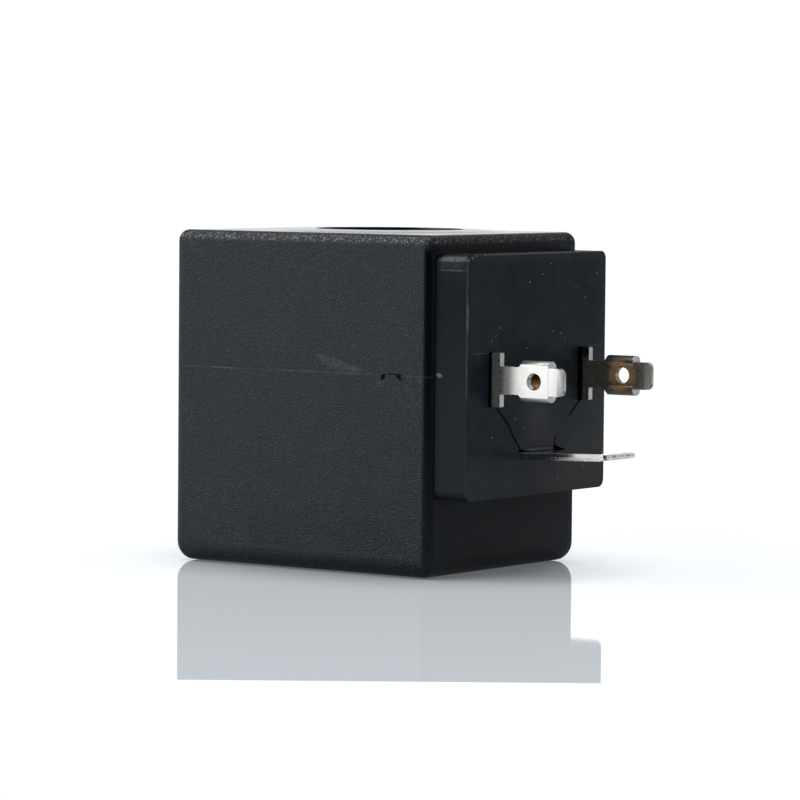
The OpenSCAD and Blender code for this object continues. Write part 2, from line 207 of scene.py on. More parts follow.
def finishPiece(obj, name, nodeName, material, smoothUnder, mergeUnder=0.0005):
    bm = openMesh(obj)
    bmesh.ops.remove_doubles(bm, verts=bm.verts, dist=mergeUnder)
    bmesh.ops.dissolve_degenerate(bm, edges=bm.edges, dist=mergeUnder)
    slivers = [e for e in bm.edges if e.is_boundary]
    if slivers:  # left open by a cut
        bmesh.ops.edgeloop_fill(bm, edges=slivers)
    openEdges = sum(1 for e in bm.edges if not e.is_contiguous)
    bmesh.ops.scale(bm, verts=bm.verts, vec=(mm, mm, mm))
    bm.to_mesh(obj.data)
    bm.free()
    obj.name = obj.data.name = name
    obj.data.materials.clear()
    obj.data.materials.append(material)
    obj.data.shade_smooth()
    obj.data.set_sharp_from_angle(angle=math.radians(smoothUnder))
    flat = obj.modifiers.new("flatFaces", "WEIGHTED_NORMAL")
    flat.mode, flat.weight, flat.keep_sharp = "FACE_AREA", 50, True
    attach(obj, "root")
    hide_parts(nodeName)
    print(name, "faces:", len(obj.data.polygons), "open edges:", openEdges)


# material helpers

def setInputs(node, values):
    # sockets are linked; numbers and colours are set on the input itself
    for key, value in values.items():
        socket = node.inputs[key]
        if isinstance(value, bpy.types.NodeSocket):
            node.id_data.links.new(value, socket)
        else:
            socket.default_value = (*value, 1) if socket.type == "RGBA" else value


def addNode(kind, values, output=0, tree=None, **settings):
    # joins the tree of the sockets that it is given, unless a tree is named
    tree = tree or next(v for v in values.values() if isinstance(v, bpy.types.NodeSocket)).id_data
    node = tree.nodes.new(kind)
    for key, value in settings.items():
        setattr(node, key, value)
    setInputs(node, values)
    return node.outputs[output]


def newMaterial(name):
    mat = bpy.data.materials.new(name)
    mat.use_nodes = True
    spot = mat.node_tree.nodes.new("ShaderNodeTexCoord").outputs["Object"]
    vector = addNode("ShaderNodeMapping", {"Vector": spot, "Scale": (1000, 1000, 1000)})  # in millimetres
    return mat, mat.node_tree.nodes["Principled BSDF"], vector


def addNoise(vector, scale, detail, roughness):
    return addNode("ShaderNodeTexNoise", {"Vector": vector, "Scale": scale, "Detail": detail,
                                          "Roughness": roughness}, "Fac")


def addRange(value, fromLow, fromHigh, toLow=0, toHigh=1):
    return addNode("ShaderNodeMapRange", {"Value": value, "From Min": fromLow, "From Max": fromHigh,
                                          "To Min": toLow, "To Max": toHigh}, "Result")


def addMath(operation, first, *others):
    # further values join one after the other
    for other in others or (0.0,):
        first = addNode("ShaderNodeMath", {0: first, 1: other}, operation=operation)
    return first


times, plus, minus, larger, smaller, absolute = (
    partial(addMath, kind) for kind in ("MULTIPLY", "ADD", "SUBTRACT", "MAXIMUM", "MINIMUM", "ABSOLUTE"))


def addLength(first, second):
    return addMath("SQRT", plus(times(first, first), times(second, second)))


def addMix(factor, first, second):
    return addNode("ShaderNodeMix", {0: factor, 6: first, 7: second}, 2, data_type="RGBA")


def addBlend(factor, first, second):
    return addNode("ShaderNodeMix", {0: factor, 2: first, 3: second})


def addBump(shader, height, strength, distance):
    values = {"Strength": strength, "Distance": distance, "Height": height}
    setInputs(shader, {"Normal": addNode("ShaderNodeBump", values)})


def addDot(vector, axis):
    return addNode("ShaderNodeVectorMath", {0: vector, 1: axis}, "Value", operation="DOT_PRODUCT")


def splitAxes(vector):
    node = vector.id_data.nodes.new("ShaderNodeSeparateXYZ")
    setInputs(node, {0: vector})
    return node.outputs


def fromPad(reach):
    return [pad["face"] + x for x in reach]


# strokes of wear and of painted highlight, and specks of dust and painted glints, drawn by their distance on one
# face

strokes = {"core": 0.3, "overrun": 0.1, "fade": 0.8, "speckCore": 0.5, "speckWeight": 0.6}


def addStroke(vector, sideways, start, end, width):
    # soft stroke between two points of a wall, each given by its place along the sideways axis and its height
    along = sideways * (end[0] - start[0]) + Vector((0, 0, end[1] - start[1]))
    length, over = along.length, strokes["overrun"]
    along.normalize()
    corner = sideways * start[0] + Vector((0, 0, start[1]))
    across = Vector((0, 0, 1)) * along.dot(sideways) - sideways * along.z
    run, beside = (minus(addDot(vector, axis), corner.dot(axis)) for axis in (along, across))
    fade = min(strokes["fade"], length / 2 + over)
    within = smaller(addRange(run, -over, fade), addRange(run, length - fade, length + over, 1, 0))
    return times(addRange(absolute(beside), width * strokes["core"], width, 1, 0), within)


def addMarks(vector, colour, marks, sideways, mask, tone):
    for start, end, width, weight in marks:
        mark = times(addStroke(vector, sideways, start, end, width), mask, weight)
        colour = addMix(mark, colour, tone)
    return colour


def addSpecks(vector, colour, specks, tone):
    for y, z, radius in specks:
        away = addNode("ShaderNodeVectorMath", {0: vector, 1: (pad["face"], y, z)}, "Value", operation="DISTANCE")
        speck = addRange(away, radius * strokes["speckCore"], radius, strokes["speckWeight"], 0)
        colour = addMix(speck, colour, tone)
    return colour


# grained moulding of the block, with the marks of its making on the side wall and painted glints along its top
# fillet

blockFinish = {  # noises: scale, detail, roughness; ranges: from, to, and what they give if not 0 and 1
    "base": (0.0016, 0.0032, 0.0044), "blue": (0.0016, 0.0030, 0.0068), "clouds": (0.8, 3, 0.6),
    "cloudRange": (0.4, 0.6), "grain": (4.6, 4, 0.62), "mottle": (0.22, 5, 0.6), "fine": (6.5, 2, 0.5),
    "fleck": (0.085, 0.09, 0.097), "fleckRange": (0.56, 0.78), "fleckPatches": (0.35, 0.65, 0.4, 1),
    "edgeFlecks": 0.08, "glint": (0.3, 0.305, 0.31), "sparkle": (4.0, 1, 0.4), "glintRange": (0.52, 0.66, 0, 0.8),
    "rimReach": (12.0, 12.8), "rimLow": (36.9, 37.2), "rimHigh": (37.75, 37.92), "scuff": (0.11, 0.112, 0.118),
    "line": (0.02, 0.1, 0.2, 0), "linePatches": (0.35, 0.6, 0.3, 1), "sideWall": (-14.6, -14.7),
    "markBreaks": (0.4, 0.6, 0.2, 1.2), "rough": (0.3, 0.7, 0.27, 0.38), "top": (37.9, 37.98), "topRough": 0.2,
    "edgeRough": 0.3, "edgeFrom": (15.2, 15.55), "edgeSide": (13.0, 13.4), "edgeTop": (36.2, 36.7),
    "specular": 0.47, "tint": (0.79, 0.88, 1.0), "bump": (1.0, 0.0002), "smoothBump": (0, 1, 1.0, 0.1)}
blockMarks = (
    ((-0.6, 24.85), (8.3, 22.5), 0.2, 0.16), ((0.5, 24.15), (7.0, 22.75), 0.55, 0.34),
    ((1.0, 23.4), (6.5, 22.55), 0.7, 0.16), ((-4.5, 22.47), (8.5, 22.42), 0.09, 0.34),
    ((5.2, 22.48), (5.5, 22.48), 0.14, 0.9), ((-14.6, 22.42), (-10.6, 22.4), 0.09, 0.9),
    ((-19.3, 22.42), (-14.4, 22.4), 0.08, 0.25), ((12.9, 22.4), (15.4, 22.42), 0.09, 0.3),
    ((8.8, 22.0), (9.8, 20.9), 0.5, 0.2), ((11.1, 21.2), (11.9, 20.8), 0.45, 0.16),
    ((14.6, 22.4), (15.2, 21.4), 0.5, 0.2), ((-15.33, 23.46), (-15.27, 23.46), 0.2, 0.8))


def grainedMoulding():
    f = blockFinish
    mat, shader, vector = newMaterial("grainedMoulding")
    x, y, z = splitAxes(vector)
    grain, mottle, fine, clouds, sparkle = (addNoise(vector, *f[k])
                                            for k in ("grain", "mottle", "fine", "clouds", "sparkle"))
    colour = addMix(addRange(clouds, *f["cloudRange"]), f["base"], f["blue"])
    fleck = times(addRange(fine, *f["fleckRange"]), addRange(mottle, *f["fleckPatches"]),
                  addRange(x, *f["edgeFrom"], 1, f["edgeFlecks"]))
    colour = addMix(fleck, colour, f["fleck"])
    # painted glints: pale specks on the top fillet, away from the bore, stand in for highlights
    rim = smaller(addRange(z, *f["rimLow"]), addRange(z, *f["rimHigh"], 1, 0))
    rim = times(rim, addRange(addLength(x, y), *f["rimReach"]))
    colour = addMix(times(addRange(sparkle, *f["glintRange"]), rim), colour, f["glint"])
    beside = absolute(minus(z, block["seamZ"]))
    line = times(addRange(beside, *f["line"]), addRange(mottle, *f["linePatches"]))
    colour = addMix(line, colour, f["scuff"])
    broken = times(addRange(y, *f["sideWall"]), addRange(fine, *f["markBreaks"]))
    colour = addMarks(vector, colour, blockMarks, Vector((1, 0, 0)), broken, f["scuff"])
    onTop = addRange(z, *f["top"])
    edge = times(addRange(x, *f["edgeFrom"]), addRange(absolute(y), *f["edgeSide"]),
                 addRange(z, *f["edgeTop"], 1, 0))
    rough = addBlend(onTop, addRange(grain, *f["rough"]), f["topRough"])
    setInputs(shader, {"Base Color": colour, "Roughness": addBlend(edge, rough, f["edgeRough"]),
                       "Specular IOR Level": f["specular"], "Specular Tint": f["tint"]})
    relief = addRange(larger(onTop, edge), *f["smoothBump"])
    addBump(shader, times(grain, relief), *f["bump"])
    return mat


# smoother moulding of the pad and the carrier, with painted sheen on its face and edges, painted light and shade on
# its side walls, painted highlights, chips of wear, and a few specks of dust and painted glints

padFinish = {
    "base": (0.0040, 0.0115, 0.0180), "blue": (0.0030, 0.0105, 0.0235), "clouds": (0.45, 3, 0.55),
    "cloudRange": (0.4, 0.6), "grain": (3.2, 4, 0.6), "mottle": (0.3, 4, 0.6), "pale": (0.062, 0.064, 0.068),
    "patch": (0.3, 16.6), "patchReach": (1.5, 4.5, 0.6, 0), "patchBreaks": (0.3, 0.7, 0.6, 1.2),
    "paleClouds": (0.3, 0.7, 0, 0.25), "paleAcross": (-8, 12, 0, 0.6), "paleDown": (28, 16),
    "paleEdges": (("Z", 16, 11, 0.45), ("Z", 34.6, 35.9, 0.3), ("Y", 11, 13.9, 0.3), ("Y", -8, -13.5, 0.08)),
    "side": (0.0014, 0.003, 0.0048), "sidePale": (30, 12, 0, 0.17), "sideRough": (20, 30, 0, 0.14),
    "front": (-0.3, -0.05), "markFront": (-0.25, -0.15), "sideWall": (-13.5, -13.6), "chips": (0.4, 0.6, 0.35, 1),
    "wearAndHighlight": (0.18, 0.185, 0.192), "dustAndGlint": (0.45, 0.47, 0.49), "lint": (2.6, 2, 0.6),
    "lintRange": (0.73, 0.79, 0, 0.35), "specular": 0.17, "tint": (0.76, 0.9, 1.0),
    "rough": (0.3, 0.7, 0.28, 0.4), "bump": (0.5, 0.00004)}
# strokes on the pad's side wall: painted highlights along its rounded top and the ridge below it, and a nick of
# wear at the parting line
padSideMarks = (
    ((16.4, 34.19), (20.45, 34.19), 0.11, 0.7), ((16.4, 35.4), (20.45, 35.4), 0.35, 0.9),
    ((16.4, 34.8), (20.45, 34.8), 0.7, 0.2), ((16.4, 33.7), (20.45, 33.7), 0.8, 0.03),
    ((16.4, 22.75), (17.2, 22.5), 0.3, 2.0))
# strokes on the pad's face: a painted reflection on the lip over the earth contact, pale lines and chips along its
# edges, and painted highlights along the flash lines
padFaceMarks = (
    ((-2.0, 13.93), (3.55, 13.92), 0.24, 0.7), ((-10.7, 35.84), (13.0, 35.9), 0.1, 0.8),
    ((-13.9, 35.2), (-13.9, 20.0), 0.1, 0.28), ((13.88, 35.2), (13.88, 9.8), 0.12, 0.3),
    ((-13.86, 31.0), (-13.84, 27.2), 0.13, 0.9), ((-1.2, 19.5), (-1.1, 14.6), 0.5, 0.02),
    ((9.95, 25.2), (13.66, 25.2), 0.11, 0.5), ((13.52, 25.2), (13.5, 22.8), 0.11, 0.4),
    ((-13.3, 25.02), (-9.95, 25.05), 0.11, 0.45), ((-12.9, 25.1), (-13.72, 22.1), 0.11, 0.35))
# specks of dust on the face; the last four, along the worn corner, are painted glints
padSpecks = (
    (-7.67, 27.77, 0.13), (-8.44, 26.91, 0.12), (-9.22, 26.38, 0.12), (-2.48, 16.43, 0.12), (3.0, 27.09, 0.13),
    (4.65, 26.81, 0.13), (5.48, 26.22, 0.11), (-2.24, 25.36, 0.12), (-1.78, 32.71, 0.14), (0.83, 33.55, 0.12),
    (9.55, 30.75, 0.12), (12.02, 33.43, 0.14), (-4.5, 17.54, 0.12), (4.26, 10.42, 0.13), (9.54, 11.47, 0.13),
    (-9.02, 15.66, 0.12), (7.65, 31.93, 0.11), (2.44, 34.7, 0.11), (-13.88, 35.3, 0.15), (-13.06, 35.56, 0.15),
    (-12.33, 35.8, 0.14), (-10.65, 35.88, 0.14))


def satinMoulding():
    f = padFinish
    mat, shader, vector = newMaterial("satinMoulding")
    axes = splitAxes(vector)
    x, y, z = axes
    grain, mottle, clouds, lint = (addNoise(vector, *f[k]) for k in ("grain", "mottle", "clouds", "lint"))
    front = addRange(x, *fromPad(f["front"]))
    # pale tone: random clouds and a patch above the earth contact, with painted sheen towards the lower right and
    # along the edges
    away = addLength(minus(y, f["patch"][0]), minus(z, f["patch"][1]))
    pale = times(addRange(away, *f["patchReach"]), addRange(mottle, *f["patchBreaks"]))
    pale = plus(pale, addRange(mottle, *f["paleClouds"]),
                times(addRange(y, *f["paleAcross"]), addRange(z, *f["paleDown"])))
    for axis, start, end, most in f["paleEdges"]:
        pale = plus(pale, addRange(axes[axis], start, end, 0, most))
    # paler towards the bottom, mostly seen on the side walls: painted light
    pale = larger(times(pale, front), addRange(z, *f["sidePale"]))
    plain = addMix(addRange(clouds, *f["cloudRange"]), f["base"], f["blue"])
    # off the face the moulding takes a darker copy of its colour: painted shade on the side walls, top and slots
    colour = addMix(pale, addMix(front, f["side"], plain), f["pale"])
    colour = addMix(times(addRange(lint, *f["lintRange"]), front), colour, f["dustAndGlint"])
    chips = addRange(grain, *f["chips"])
    onSide = times(addRange(y, *f["sideWall"]), chips)
    onFace = times(addRange(x, *fromPad(f["markFront"])), chips)
    colour = addMarks(vector, colour, padSideMarks, Vector((1, 0, 0)), onSide, f["wearAndHighlight"])
    colour = addMarks(vector, colour, padFaceMarks, Vector((0, 1, 0)), onFace, f["wearAndHighlight"])
    colour = addSpecks(vector, colour, padSpecks, f["dustAndGlint"])
    duller = times(minus(1, front), addRange(z, *f["sideRough"]))
    setInputs(shader, {"Base Color": colour, "Roughness": plus(addRange(grain, *f["rough"]), duller),
                       "Specular IOR Level": f["specular"], "Specular Tint": f["tint"]})
    addBump(shader, grain, *f["bump"])
    return mat


# tin plate over brass, with faint rolling lines

tin = {
    "clean": (0.86, 0.855, 0.82), "dull": (0.8, 0.79, 0.755), "cloud": (0.9, 4, 0.6),
    "dullRange": (0.35, 0.75, 0, 0.6), "uprightFrom": (16, 17), "nearFrom": (0, -1), "farFrom": (5, 6),
    "warm": (0.66, 0.6, 0.45), "farWarm": 0.7, "foldFrom": (1.75, 1.95), "foldStart": (3.3, 3.6),
    "foldRough": 0.45, "shade": (0.07, 0.07, 0.06), "farFold": 0.9, "cut": (1.0, 0.995, 0.98),
    "cutFrom": (1.57, 1.6), "shoulderCut": (1.19, 1.22), "shoulderPast": (2.9, 3.0), "wingCut": (7.5, 7.56),
    "mattCut": 0.6, "root": (0.006, 0.006, 0.006), "rootReach": (0.12, 0.24), "farRoot": 0.27,
    "rootFade": (1.1, 1.8), "mattRoot": 0.16, "neckFrom": (1.35, 1.9), "neckTo": (2.1, 2.7),
    "mattNeck": 0.45, "bare": (0.85, 0.52, 0.2), "bareReach": (1.45, 2.0), "holeWall": (0.93, 1.0),
    "bareBreaks": (0.3, 0.6, 0.7, 1), "mattShare": (0.1, 0.92), "endShade": (0.2, 0.2, 0.195),
    "tipFrom": (11.0, 11.05), "tipLevel": (-0.14, -0.02), "tipNoise": (1.1, 2, 0.5),
    "tipBreaks": (0.42, 0.55, 0.9, 0.35), "earthTilt": (13.3, 20.55, 0.0332), "crest": (0.32, 0.37),
    "crestSide": (3.05, 3.1), "mattCrest": 0.55, "torn": (0.0, -0.08), "tornSide": (3.1, 3.14),
    "tornFrom": (2.2, 6.0), "tornNoise": (4.5, 2, 0.5), "tornRough": (0.4, 0.6, 0.2, 0.55),
    "rough": (0.3, 0.7, 0.25, 0.31), "earthRough": (0.3, 0.7, 0.08, 0.17), "rolling": (0.5, 9, 9),
    "lines": (1.2, 3, 0.6), "bump": (0.03, 0.00003)}


def tinPlate():
    f = tin
    mat, shader, vector = newMaterial("tinPlate")
    x, y, z = splitAxes(vector)
    cloud = addNoise(vector, *f["cloud"])
    # places on the contacts; the level is measured from the middle of the tilted earth tab
    fromFace, above, aside = minus(x, pad["face"]), minus(z, contacts["z"]), absolute(y)
    away = addLength(minus(x, pad["face"] + contacts["holeX"]), above)
    offMiddle = absolute(above)
    onUpright, nearSide, farSide = (addRange(axis, *f[k]) for axis, k in
                                    ((z, "uprightFrom"), (y, "nearFrom"), (y, "farFrom")))
    low, start, slope = f["earthTilt"]
    level = minus(z, plus(times(larger(minus(x, start), 0), slope), low))
    # colour: painted shade on the far fold, cut ends painted bright as a highlight, painted shade on the roots deep
    # in the slots, bare brass round the far hole, painted shade on the upper half of the earth tab's end
    upperFold = times(addRange(above, *f["foldFrom"], 0, f["farFold"]), farSide)
    # cut ends of the shoulders and wings are painted near white, a painted highlight
    shoulders = times(addRange(fromFace, *f["shoulderCut"]), addRange(fromFace, *f["shoulderPast"], 1, 0))
    ends = times(larger(addRange(fromFace, *f["wingCut"]), shoulders),
                 addRange(offMiddle, *f["cutFrom"]), onUpright)
    # painted shade where the contacts sit deep in their slots
    root = minus(fromFace, times(farSide, f["farRoot"]))
    root = times(addRange(root, *f["rootReach"], 1, 0), onUpright)
    bare = times(addRange(away, *f["bareReach"], 1, 0), farSide, addRange(away, *f["holeWall"]),
                 addRange(cloud, *f["bareBreaks"]))
    # painted shade on the upper half of the earth tab's end, in streaks
    endShade = times(addRange(fromFace, *f["tipFrom"]), addRange(level, *f["tipLevel"]),
                addRange(addNoise(vector, *f["tipNoise"]), *f["tipBreaks"]))
    colour = addMix(addRange(cloud, *f["dullRange"]), f["clean"], f["dull"])
    for factor, tone in ((times(farSide, f["farWarm"]), "warm"), (upperFold, "shade"), (ends, "cut"),
                         (root, "root"), (bare, "bare"), (endShade, "endShade")):
        colour = addMix(factor, colour, f[tone])
    # matt share of the metal
    nearRoot = times(addRange(x, *fromPad(f["rootFade"]), f["mattRoot"], 0), nearSide)
    neck = times(addRange(fromFace, *f["neckFrom"], 0, f["mattNeck"]),
                 addRange(fromFace, *f["neckTo"], 1, 0), nearSide)
    matt = plus(addRange(bare, 0, 1, *f["mattShare"]), plus(nearRoot, neck))
    matt = larger(matt, larger(root, times(ends, f["mattCut"])))
    crest = times(addRange(level, *f["crest"], 0, f["mattCrest"]), addRange(aside, *f["crestSide"]),
                  minus(1, onUpright))
    metal = minus(1, larger(times(matt, onUpright), crest))
    # smooth faces, duller folds, and the torn half of the earth tab's stamped edges
    folded = times(addRange(offMiddle, *f["foldFrom"]), addRange(x, *fromPad(f["foldStart"])))
    upper = addBlend(folded, addRange(cloud, *f["rough"]), f["foldRough"])
    torn = times(addRange(level, *f["torn"]), addRange(aside, *f["tornSide"]), addRange(x, *fromPad(f["tornFrom"])))
    lower = addBlend(torn, addRange(cloud, *f["earthRough"]),
                     addRange(addNoise(vector, *f["tornNoise"]), *f["tornRough"]))
    setInputs(shader, {"Base Color": colour, "Metallic": metal, "Roughness": addBlend(onUpright, lower, upper)})
    rolled = addNode("ShaderNodeMapping", {"Vector": vector, "Scale": f["rolling"]})
    addBump(shader, addNoise(rolled, *f["lines"]), *f["bump"])
    return mat


# turned brass, with a painted highlight at the low rim of the screw hole

brass = {
    "light": (0.31, 0.16, 0.04), "dark": (0.14, 0.065, 0.017), "cloud": (1.1, 3, 0.55), "rim": (0.98, 0.78, 0.42),
    "rimHeight": (21.2, 20.95, 0, 0.7), "rimNoise": (2.4, 1, 0.5), "rimBreaks": (0.35, 0.55, 0.2, 1),
    "rough": (0.3, 0.7, 0.2, 0.34), "fine": (14, 2, 0.5), "bump": (0.1, 0.00002)}


def turnedBrass():
    f = brass
    mat, shader, vector = newMaterial("turnedBrass")
    cloud = addNoise(vector, *f["cloud"])
    # painted highlight: pale gold on the low rim of the thread
    low = times(addRange(splitAxes(vector)["Z"], *f["rimHeight"]),
                addRange(addNoise(vector, *f["rimNoise"]), *f["rimBreaks"]))
    colour = addMix(low, addMix(cloud, f["light"], f["dark"]), f["rim"])
    setInputs(shader, {"Base Color": colour, "Metallic": 1, "Roughness": addRange(cloud, *f["rough"])})
    addBump(shader, addNoise(vector, *f["fine"]), *f["bump"])
    return mat


finishes = {"grained": grainedMoulding(), "satin": satinMoulding(), "tin": tinPlate(), "brass": turnedBrass()}
print("finishes ready")


# moulded block with its connector pad; the carrier, the contacts and the coil get their rooms in it

carrier = {
    "outline": ((10.95, 3.65), (10.95, -3.65), (9.0, -3.65), (4.1, -8.0), (4.1, -10.15)), "roomOver": 0.5,
    "mouth": 0.8, "mouthRoom": 0.4, "slotHalf": 3.05, "earthSlot": ((-3.2, 12.85), (3.2, 13.75)),
    "earthMouth": ((-3.4, 13.6), (3.5, 13.76)), "earthMouthDeep": 0.5, "over": 1, "ramp": (13.78, 14.22, 0.12),
    "rampEnds": (-2.0, 3.55), "rampOut": (0.5, 0.01)}
inner = {
    "coil": ((0, 0, 4.8), (0, 0, 33.2), 13.0), "rivet": ((13.9, 0, 3.3), (15.1, 0, 3.3), 1.45),
    "frame": (((-16.6, -11.05, 1.75), (13.3, 11.05, 4.85)), ((-16.6, -11.05, 33.15), (13.3, 11.05, 36.25)),
              ((-16.6, -11.05, 4.0), (-13.4, 11.05, 34.0))),
    "strap": (((13.25, -2.55, 1.75), (14.15, 2.55, 12.2)), ((13.25, -2.55, 11.3), (17.4, 2.55, 13.75))),
    "tail": ((12.4, -0.45, 21.25), (17.4, 0.45, 22.95)), "lead": (10.79, 33.25, 0.7), "solder": (11.3, 13.6, 1.15),
    "insert": (13.9, 17.5)}
seams = {
    "size": (0.62, -0.34, 0.4),
    "lines": (((-8.1, 18.88), (-5.65, 16.82)), ((-5.72, 16.9), (-4.87, 15.62)), ((-4.92, 15.7), (-3.4, 14.1)),
              ((8.75, 19.12), (6.54, 17.42)), ((4.0, 15.1), (3.5, 14.7)))}
flash = {
    "size": (0.3, 0.05, -0.1), "sideSize": (0.3, 0.018, -0.1), "sideX": (16.1, 20.4), "sideZ": 34.19,
    "lines": (((-13.3, 25.02), (-9.95, 25.05)), ((-12.9, 25.1), (-13.72, 22.1)), ((9.95, 25.2), (13.66, 25.2)),
              ((13.52, 25.2), (13.5, 22.8)))}
pits = {
    "depth": 0.8, "over": 0.5,
    "outlines": (((-3.95, 13.98), (-3.4, 13.5), (-3.0, 13.4), (-1.97, 13.7), (-3.2, 14.14)),
                 ((3.35, 13.94), (3.56, 13.42), (4.48, 13.43), (6.0, 13.6), (3.95, 14.07), (3.53, 14.71)))}
gate = {
    "pits": ((9.87, 22.27, 53, 0.46, 0.25), (12.1, 22.22, -38, 0.6, 0.3)), "depth": 0.3,
    "line": ((10.5, 22.55), (12.5, 22.58)), "lineSize": (0.34, -0.15, 0.2)}


def addSeam(bm, half, out):
    # thin raised parting line round the walls
    for height in (block["seamZ"] - half, block["seamZ"], block["seamZ"] + half):
        cutAcross(bm, (0, 0, height), (0, 0, 1))
    bm.normal_update()
    for vert in bm.verts:
        if abs(vert.co.z - block["seamZ"]) < 1e-4:
            vert.co += vert.normal * out


def makeBlock():
    b, half, back = block, block["width"] / 2 - block["seamOut"], -block["back"] + block["seamOut"]
    bm = drawOutline([(back, -half), (b["front"], -half), (b["front"], half), (back, half)],
                     [b["edgeR"]] * 4, b["steps"])
    extrudeUp(bm, b["height"] - b["edgeR"] - b["baseR"])
    shift(bm, (0, 0, b["baseR"]))
    roundOver(bm, 1, b["edgeR"], b["steps"], b["edgeR"] - b["cornerGap"])
    roundOver(bm, -1, b["baseR"], b["steps"], b["edgeR"] - b["cornerGap"])
    addSeam(bm, b["seamHalf"], b["seamOut"])
    return bm


def makeCrown():
    # low dome that lifts the rim of the bore over the top face
    b, steps = block, block["crownSteps"]
    line = [(0, b["height"] - 1), (b["crownR"], b["height"] - 1)]
    for i in range(steps + 1):
        r = b["crownR"] + (b["seatR"] - b["crownR"]) * i / steps
        line.append((r, b["height"] + b["crown"] * (1 - ((r - b["seatR"]) / (b["crownR"] - b["seatR"])) ** 2)))
    return latheProfile(line + [(0, b["height"] + b["crown"])], b["roundness"])


def cornerTool():
    # worn upper corner of the pad on the line contact's side
    low, high, deep = (Vector(c) for c in pad["wornCorner"])
    normal = (high - low).cross(deep - low).normalized()
    if normal.z < 0:
        normal.negate()
    turn = Vector((1, 0, 0)).rotation_difference(normal).to_matrix().to_4x4()
    return place(makeBox((0, -3, -3), (2, 3, 3)), Matrix.Translation((low + high + deep) / 3) @ turn)


def makePad():
    halfW, halfH = pad["width"] / 2 - pad["seamOut"], pad["height"] / 2
    bm = drawOutline([(-halfW, -halfH), (halfW, -halfH), (halfW, halfH), (-halfW, halfH)],
                     [pad["lowR"], pad["lowR"], pad["topR"], pad["topR"]], block["steps"])
    extrudeUp(bm, pad["face"] - pad["frontR"] - pad["root"])
    roundOver(bm, 1, pad["frontR"], pad["frontSteps"], pad["frontR"] * 2)
    place(bm, Matrix.Translation((pad["root"], 0, pad["middle"])) @ toPad)
    addSeam(bm, pad["seamHalf"], pad["seamOut"])
    wearAndHighlight = makeObject(bm, "pad")
    combine(wearAndHighlight, [cornerTool()])
    return takeMesh(wearAndHighlight)


def boreTool():
    r, rim, top, steps = block["boreR"], block["rimR"], block["height"] + block["crown"], block["rimSteps"]
    arc = [math.pi / 2 * i / steps for i in range(steps + 1)]
    low = [(r + rim * (1 - math.sin(a)), rim * (1 - math.cos(a))) for a in arc]
    high = [(x, top - z) for x, z in reversed(low)]
    line = [(0, -1), (r + rim, -1)] + low + high + [(r + rim, top + 1), (0, top + 1)]
    return latheProfile(line, block["roundness"])


def carrierBlank(over=0.0):
    half = carrier["outline"]
    bm = drawOutline([(-u, v) for u, v in half] + [(u, v) for u, v in reversed(half)])
    extrudeUp(bm, pad["face"] - contacts["carrierX"] + over)
    return place(bm, Matrix.Translation((contacts["carrierX"], 0, contacts["z"])) @ toPad)


def faceBars(lines, size):
    return [wedgeBar((pad["face"], *start), (pad["face"], *end), (1, 0, 0), *size) for start, end in lines]


def flashBars():
    bars, z = faceBars(flash["lines"], flash["size"]), flash["sideZ"]
    for side in (-1, 1):
        y = side * (pad["width"] / 2 - pad["seamOut"])
        start, end = ((x, y, z) for x in flash["sideX"])
        bars.append(wedgeBar(start, end, (0, side, 0), *flash["sideSize"]))
    return bars


def gateTools():
    # two small pits and the trace between them where the gate was broken off
    wall = -block["width"] / 2
    start, end = ((x, wall, z) for x, z in gate["line"])
    tools = [wedgeBar(start, end, (0, -1, 0), *gate["lineSize"])]
    for x, z, turn, long, wide in gate["pits"]:
        bm = bmesh.new()
        bmesh.ops.create_icosphere(bm, subdivisions=2, radius=1)
        bmesh.ops.scale(bm, verts=bm.verts, vec=(long, gate["depth"], wide))
        bmesh.ops.rotate(bm, verts=bm.verts, cent=(0, 0, 0), matrix=Matrix.Rotation(-math.radians(turn), 3, "Y"))
        shift(bm, (x, wall, z))
        tools.append(bm)
    return tools


def earthPits():
    # sunk corners at both ends of the earth contact's slot
    tools = []
    for points in pits["outlines"]:
        bm = drawOutline(points)
        extrudeUp(bm, pits["depth"] + pits["over"])
        tools.append(place(bm, Matrix.Translation((pad["face"] - pits["depth"], 0, 0)) @ toPad))
    return tools


def innerTools():
    tools = [boreTool(), makeRod(*inner["coil"], 96)]
    tools += [makeBox(*corners) for corners in inner["frame"] + inner["strap"]] + [makeRod(*inner["rivet"])]
    z, (leadX, leadTop, leadR), (back, front, solderR) = contacts["z"], inner["lead"], inner["solder"]
    for side in (-1, 1):
        y = side * contacts["y"]
        tools += [makeBox(*((cx, y + cy, cz) for cx, cy, cz in inner["tail"])),
                  makeRod((leadX, y, z), (leadX, y, leadTop), leadR), makeRod((back, y, z), (front, y, z), solderR)]
    insertBack, insertFront = ((x, 0, z) for x in inner["insert"])
    return tools + [carrierBlank(carrier["roomOver"]), makeRod(insertBack, insertFront, insert["r"])]


def makeBody():
    body = makeObject(makeBlock(), "body")
    combine(body, [makeCrown(), makePad()], "UNION")
    combine(body, innerTools() + faceBars(seams["lines"], seams["size"]) + earthPits() + gateTools())
    combine(body, flashBars(), "UNION")
    finishPiece(body, "encapsulationShell", "encapsulation", finishes["grained"], 20)
    body.data.materials.append(finishes["satin"])
    for face in body.data.polygons:
        face.material_index = int(face.center.x > pad["finishFrom"] * mm)


makeBody()


# terminal carrier, flush in the pad's face

def rampTool():
    # shallow ramp over the earth contact, deepest at its upper edge
    face, (low, high, depth), (out, drop) = pad["face"], carrier["ramp"], carrier["rampOut"]
    left, right = carrier["rampEnds"]
    bm = drawOutline([(face, low), (face + out, low - drop), (face + out, high), (face - depth, high)])
    extrudeUp(bm, right - left)
    return place(bm, Matrix.Translation((0, left, 0)) @ toSide)


